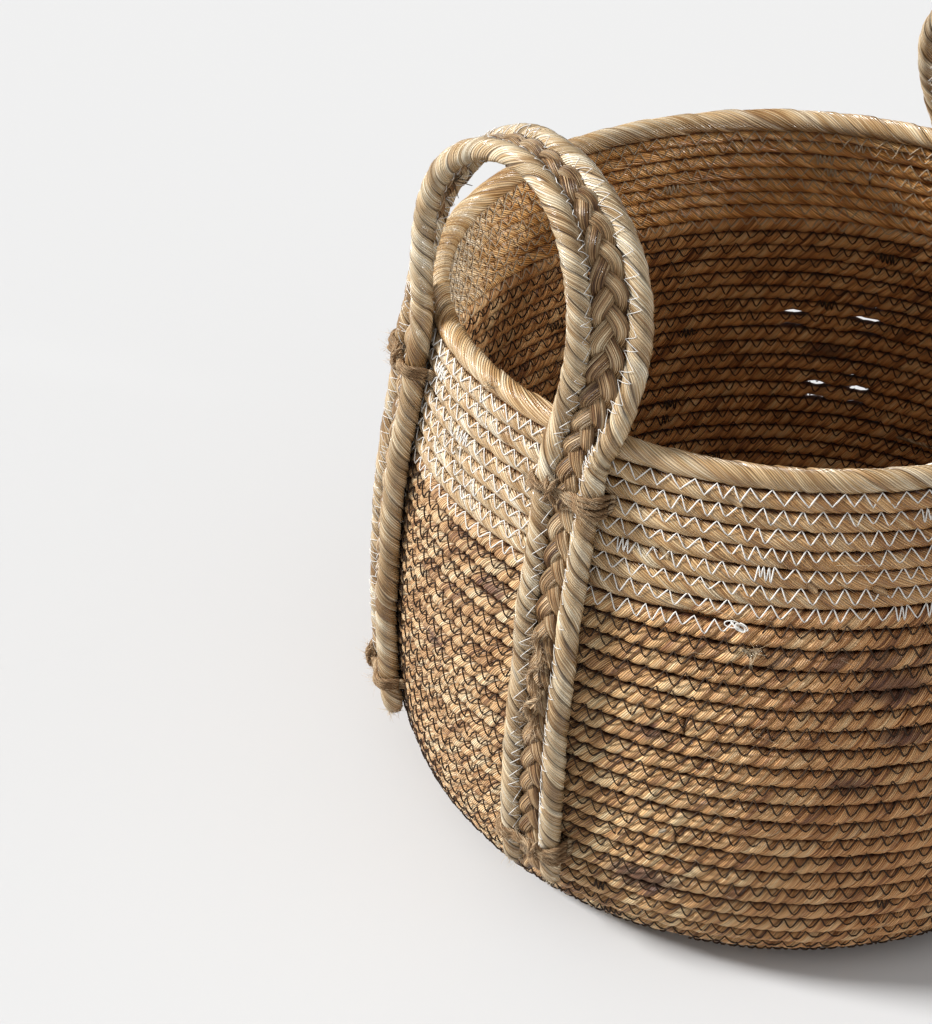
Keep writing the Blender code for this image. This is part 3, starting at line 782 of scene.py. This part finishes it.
def hair_finish(name, dark, pale):
    """Single fibres, darker and paler from place to place."""
    material, shader, wire = new_finish(name)
    place = wire.node("TexCoord", {}, {}, "Object")
    tone = wire.node("TexNoise", {}, {"Vector": place, "Scale": 400.0, "Detail": 1.0})
    colour = wire.node("ValToRGB", {"stops": ((0.35, dark), (0.65, pale))}, {0: tone})
    colour.feed(shader.inputs["Base Color"])
    shader.inputs["Roughness"].default_value = 0.6
    return material


jute_fibre = fibre_finish(
    "jute_fibre",
    ((0.0, (0.17, 0.09, 0.04)), (0.27, (0.33, 0.20, 0.10)), (0.5, (0.49, 0.33, 0.185)),
     (0.72, (0.60, 0.44, 0.265)), (1.0, (0.71, 0.56, 0.38))),
    odd=(0.22, 0.13, 0.065), odd_share=0.14, plies=2, unlike=2.0, skew=0.0,
    patch=60.0, strips=9.0, lines=9.0,
    edge=0.1, edge_shade=(0.35, 0.25, 0.18), roughness=0.75, gloss=0.25, relief=0.0009,
)
jute_hair = hair_finish("jute_hair", (0.40, 0.27, 0.15), (0.70, 0.54, 0.36))
straw_hair = hair_finish("straw_hair", (0.45, 0.33, 0.19), (0.75, 0.64, 0.46))
BRAID_OUT, WALL_BACK = CORD_RADIUS + 0.0046, -0.0098
TIE_LEVELS = (("upper", PALE_TOP - 2 * PALE_ROW, -0.0045), ("lower", DARK_BOTTOM + 5 * DARK_ROW, 0.0075))
TURN_FANS = ((0.0026, 0.0024), (-0.0006, -0.0008), (-0.0046, 0.0006), (-0.0072, -0.0026))
KNOT_TURNS = ((0.35, 0.0085), (-0.5, 0.0075))


def lay_over(cross):
    """How far out a yarn lies where it crosses the two cords and the braid."""
    reach = CORD_RADIUS + YARN
    lying = [np.where(np.abs(cross) < LEG_SPACING / 2, BRAID_OUT + YARN, 0.0)]
    for at in (LEG_SPACING / 2, -LEG_SPACING / 2):
        over_cord = CORD_OUT + np.sqrt(np.clip(reach**2 - (cross - at) ** 2, 0, 1))
        lying.append(np.where(np.abs(cross - at) < reach, over_cord, 0))
    return np.maximum.reduce(lying)


for (handle, handle_name), side, (level, height, knot) in itertools.product(HANDLES, (-1, 1), TIE_LEVELS):
    leg_name = "front_leg" if side == -handle else "back_leg"
    tie_name = f"{handle_name}_{leg_name}_{level}_tie"
    tie_seed = 11 * handle + 5 * side + len(level)
    angle = leg_angle(handle, side, height)
    middle = on_wall(angle, height, 0.0)
    outwards = on_wall(angle, height, 0.01) - middle
    outwards /= np.linalg.norm(outwards)
    beside = np.array([math.cos(angle), math.sin(angle), 0])
    rise = np.cross(beside, outwards)
    rise *= np.sign(rise[2])
    half = LEG_SPACING / 2 + CORD_RADIUS + YARN
    for strand, (fan_out, fan_in) in enumerate(TURN_FANS):
        cross = np.linspace(half, -half, 60)
        past = cross * side - knot
        lean = np.where(past > 0, fan_out * past / (half - knot), -fan_in * past / (half + knot))
        depth = WALL_BACK - half**2 / (2 * np.linalg.norm(middle[:2]))
        down_one_side = [(-half - 0.0002, 0.002, lean[-1]), (-half, -0.004, 0.4 * lean[-1]),
                         (-half + 0.0016, -0.0085, 0.1 * lean[-1])]
        up_the_other = [(half - 0.0016, -0.0085, 0.1 * lean[0]), (half, -0.004, 0.4 * lean[0]),
                        (half + 0.0002, 0.002, lean[0])]
        loop = np.vstack([
            np.column_stack([cross, lay_over(cross) + 0.0006 * (strand % 2), lean]),
            down_one_side,
            [(-half + 0.004, depth, 0), (0.0, WALL_BACK, 0), (half - 0.004, depth, 0)],
            up_the_other,
        ])
        loop = np.vstack([loop, loop[:1]])
        path = shifted(middle, (loop[:, 0], beside), (loop[:, 1], outwards), (loop[:, 2], rise))
        out = path - (middle - outwards * 0.002)
        ply_yarn(f"{tie_name}_turn_{strand + 1}", path, out, YARN, (tie_name,))
        if strand in (0, 3):
            frizz(f"{tie_name}_hairs_{strand + 1}", path[:60], np.tile(outwards, (60, 1)), 130, 0.0055,
                  0.0001, 0.72, jute_hair, 200 + tie_seed + 40 * strand)
    for end, (tilt, reach) in enumerate(KNOT_TURNS):
        share = np.linspace(-1, 1, 24)
        cross = side * knot + reach * math.sin(tilt) * share
        over = BRAID_OUT + 2 * YARN + 0.0032 * (1 - np.abs(share) ** 2.5) - 0.0012
        over = np.maximum(over, lay_over(cross) + 0.0010 * (1 - share**2))
        path = shifted(middle, (cross, beside), (over, outwards), (reach * math.cos(tilt) * share, rise))
        ply_yarn(f"{tie_name}_knot_{end + 1}", path, np.tile(outwards, (24, 1)), 0.0016, (tie_name,))
        frizz(f"{tie_name}_knot_hairs_{end + 1}", path, np.tile(outwards, (24, 1)), 40, 0.0045, 0.0001, 0.6,
              jute_hair, 400 + tie_seed + 40 * end)


# The loose yarn: a spare length of the same jute, its two plies twisted together. It lies in waves on
# the braid of the left handle's front leg, and part of each wave rests on the cords.
LOOSE_FROM, LOOSE_TO, LOOSE_OUT = 0.135, 0.195, 0.0121
share = np.linspace(0, 1, 200)
low, high = wall_station(LOOSE_FROM), wall_station(LOOSE_TO)
height = low + (high - low) * share
angle = leg_angle(-1, 1, height)
base = on_wall(angle, height, LOOSE_OUT)
outwards = on_wall(angle, height, LOOSE_OUT + 0.01) - base
beside = np.stack([np.cos(angle), np.sin(angle), 0 * angle], 1)
path = shifted(base, (0.0030 * np.sin(math.tau * 3 * share), beside),
               (0.08 * np.sin(math.tau * 4.3 * share), outwards))
ply_yarn("left_handle_loose_yarn", path, outwards, 0.0019, ("left_handle_loose_twine",))
frizz("left_handle_loose_yarn_hairs", path, outwards, 420, 0.006, 0.00011, 0.6, jute_hair, 300)


# Loose ends, as hand work leaves them: the rope's start in the middle of the floor, the knotted end of
# the white thread with a folded leaf end below it, chips of leaf caught in the wall, a frayed leaf end
# in the left braid, frayed ends of the cords, and stray fibres.
def beside_wall(angle, height, out):
    """A point near the wall's face at a height, with the ways along the row, up the wall and out."""
    along = wall_station(height)
    point = on_wall(angle, along, out)
    outwards = on_wall(angle, along, out + 0.01) - point
    outwards /= np.linalg.norm(outwards)
    beside = np.array([math.cos(angle), math.sin(angle), 0])
    return point, beside, np.cross(beside, outwards) * np.sign(np.cross(beside, outwards)[2]), outwards


def flake(name, angle, height, out, long, broad, tilt, curl, material):
    """A chip of leaf: a thin pointed slip that lies on the wall, turned by tilt and bent by curl."""
    point, beside, up, outwards = beside_wall(math.radians(angle), height, out)
    share = np.linspace(-1, 1, 11)
    tilt = math.radians(tilt)
    run = math.cos(tilt) * beside + math.sin(tilt) * up
    across = math.cos(tilt) * up - math.sin(tilt) * beside
    path = point + long / 2 * share[:, None] * run + curl * (share**2)[:, None] * outwards
    wide = broad / 2 * np.sqrt(np.clip(1 - np.abs(share) ** 2.6, 0.02, 1))
    around = np.linspace(0, 1, 9)
    points = np.array([path + (wide * math.cos(math.tau * turn))[:, None] * across
                       + 0.0003 * math.sin(math.tau * turn) * outwards for turn in around])
    skin(name, points, share * long, around, material)


START_PLACE, START_RADIUS = (-0.0015, 0.0005), 0.0104
share = np.linspace(-1, 1, 15)
path = np.column_stack([0 * share + START_PLACE[0], 0 * share + START_PLACE[1],
                        ROPE_THICK / 2 * (1 + 0.88 * share)])
radius = START_RADIUS * np.sqrt(1 - 0.97 * share**6)
points, around = tube(path, np.tile((1.0, 0.0, 0.0), (15, 1)), radius, 18)
skin("dark_rope_start", points, 0.005 * share, around, dark_fibre,
     section=np.full(points.shape[:2], 0.5))

point, beside, up, outwards = beside_wall(math.radians(-45.6), 0.2212, 0.0012)
share = np.linspace(0, 1, 90)
loops = np.column_stack([0.0030 * np.sin(math.tau * 3.1 * share) + 0.0012 * np.sin(math.tau * 1.3 * share),
                         0.0019 * np.cos(math.tau * 3.6 * share) - 0.0006 * share,
                         0.0007 + 0.0007 * np.sin(math.tau * 4.7 * share)])
path = shifted(point, (loops[:, 0], beside), (loops[:, 1], up), (loops[:, 2], outwards))
lay_thread("white_thread_end", path, np.tile(outwards, (90, 1)) + 0.01, share, 0.00036, 5, white_thread)
point, beside, up, outwards = beside_wall(math.radians(-46.7), 0.2216, 0.0010)
share = np.linspace(0, 1, 30)
path = shifted(point, (0.0034 * np.cos(math.tau * share), beside), (0.0017 * np.sin(math.tau * share), up),
               (0.0006 * share, outwards))
lay_thread("white_thread_loop", path, np.tile(outwards, (30, 1)) + 0.01, share, 0.0003, 5, white_thread)

chips = (("folded_leaf_end_1", -43.4, 0.2092, 0.0012, 0.0075, 0.0030, 24, 0.0012, leaf_fibre),
         ("folded_leaf_end_2", -44.4, 0.2086, 0.0018, 0.0055, 0.0022, -35, 0.0010, cord_fibre),
         ("wall_leaf_chip", -53.6, 0.0973, 0.0008, 0.0052, 0.0026, 40, 0.0004, cord_fibre))
for name, angle, height, out, long, broad, tilt, curl, material in chips:
    flake(name, angle, height, out, long, broad, tilt, curl, material)
random = np.random.default_rng(530)
for chip in range(30):
    flake(f"husk_chip_{chip + 1}", -96 + 12 * chip + random.uniform(-5, 5), random.uniform(0.240, 0.285),
          -0.0004, random.uniform(0.007, 0.012), random.uniform(0.003, 0.005), random.uniform(-60, -25),
          0.0011, pale_fibre)
frayed = (("folded_leaf_fibres", -43.8, 0.2088, 0.0008, -1, 40, 0.005, 0.00016, "dark_rope", 501),
          ("rim_frayed_fibres", -90.3, 0.2990, 0.0, 1, 26, 0.006, 0.00018, "wrapped_husk", 502))
for name, angle, height, out, upwards, count, long, thick, slot, seed in frayed:
    point, beside, up, outwards = beside_wall(math.radians(angle), height, out)
    frizz(name, point + np.linspace(-0.003, 0.003, 12)[:, None] * beside,
          np.tile(outwards + upwards * up, (12, 1)), count, long, thick, 0.3, straw_hair, seed)

ring = np.linspace(0, math.tau, 25)[:, None]
for handle, handle_name in HANDLES:
    along, centre, across, face, wide = band_line(handle)
    if handle < 0:
        at = int(0.40 * len(along))
        path = centre[at - 2:at + 4] + 0.001 * face[at]
        frizz("braid_frayed_leaf_end", path, np.tile(face[at] - 0.8 * across[at], (6, 1)),
              16, 0.0070, 0.00065, 0.15, leaf_fibre, 503)
    for end, leg_name in ((0, "first"), (-1, "last")):
        down = centre[end] - centre[20 if end == 0 else -21]
        down /= np.linalg.norm(down)
        for side, cord_name in ((1, "inner"), (-1, "outer")):
            middle = centre[end] + across[end] * (side * wide[end] / 2)
            path = middle + 0.7 * CORD_RADIUS * (np.cos(ring) * across[end] + np.sin(ring) * face[end])
            frizz(f"{handle_name}_{cord_name}_cord_{leg_name}_end_fibres", path, np.tile(3 * down, (25, 1)),
                  90, 0.0035, 0.00014, 0.0, straw_hair, 510 + 3 * side + end)

for name, first, last, count, long, slot in (
    ("dark_wall_stray_fibres", FLOOR_ROWS, SPLICE, 420, 0.0085, "dark_rope"),
    ("pale_band_stray_fibres", SPLICE, LEVELS[-1] - 0.5, 160, 0.0075, "pale_rope"),
):
    turns, angle, _ = wind(first, last, 0.004)
    middle = row_station(climb(turns) + 0.5)
    path = on_wall(angle, middle, 0.0002)
    outwards = on_wall(angle, middle, 0.0012) - path
    frizz(name, path, outwards, count, long, 0.0001, 0.68, straw_hair, 520)


# The studio: a plain white floor that keeps the basket's shadow, soft light from the upper left and a
# little behind, a narrow lamp that reaches the inside of the left wall through the mouth, and an even
# white surround.
shape = bmesh.new()
bmesh.ops.create_grid(shape, x_segments=1, y_segments=1, size=12.0)
mesh = bpy.data.meshes.new("floor")
shape.to_mesh(mesh)
shape.free()
floor_white, shader, _ = new_finish("floor_white")
shader.inputs["Base Color"].default_value = (0.59, 0.59, 0.59, 1.0)
shader.inputs["Roughness"].default_value = 0.9
shader.inputs["Specular IOR Level"].default_value = 0.0
mesh.materials.append(floor_white)
floor = add_object("floor", mesh)

lights = (("key", 5.4, 14, (-0.630, 0.538, 0.559)), ("fill", 0.5, 90, (-0.777, -0.260, 0.574)),
          ("side", 0.75, 80, (0.314, -0.723, 0.616)), ("overhead", 0.6, 80, (-0.1, 0.25, 0.963)))
for name, energy, spread, towards in lights:
    lamp = add_object(name, bpy.data.lights.new(name, "SUN"))
    lamp.data.energy = energy
    lamp.data.angle = math.radians(spread)
    lamp.rotation_euler = Vector(towards).to_track_quat("Z", "Y").to_euler()

lamp = add_object("mouth_light", bpy.data.lights.new("mouth_light", "SPOT"))
lamp.data.energy = 56.0
lamp.data.spot_size = math.radians(15)
lamp.data.spot_blend = 1.0
lamp.data.shadow_soft_size = 0.08
lamp.location = (0.63, -0.62, 0.813)
lamp.rotation_euler = Vector((0.73, -0.77, 0.578)).to_track_quat("Z", "Y").to_euler()

world = bpy.data.worlds.new("surround")
bpy.context.scene.world = world
world.use_nodes = True
world.node_tree.nodes["Background"].inputs["Color"].default_value = (1.0, 1.0, 1.0, 1.0)
world.node_tree.nodes["Background"].inputs["Strength"].default_value = 0.10
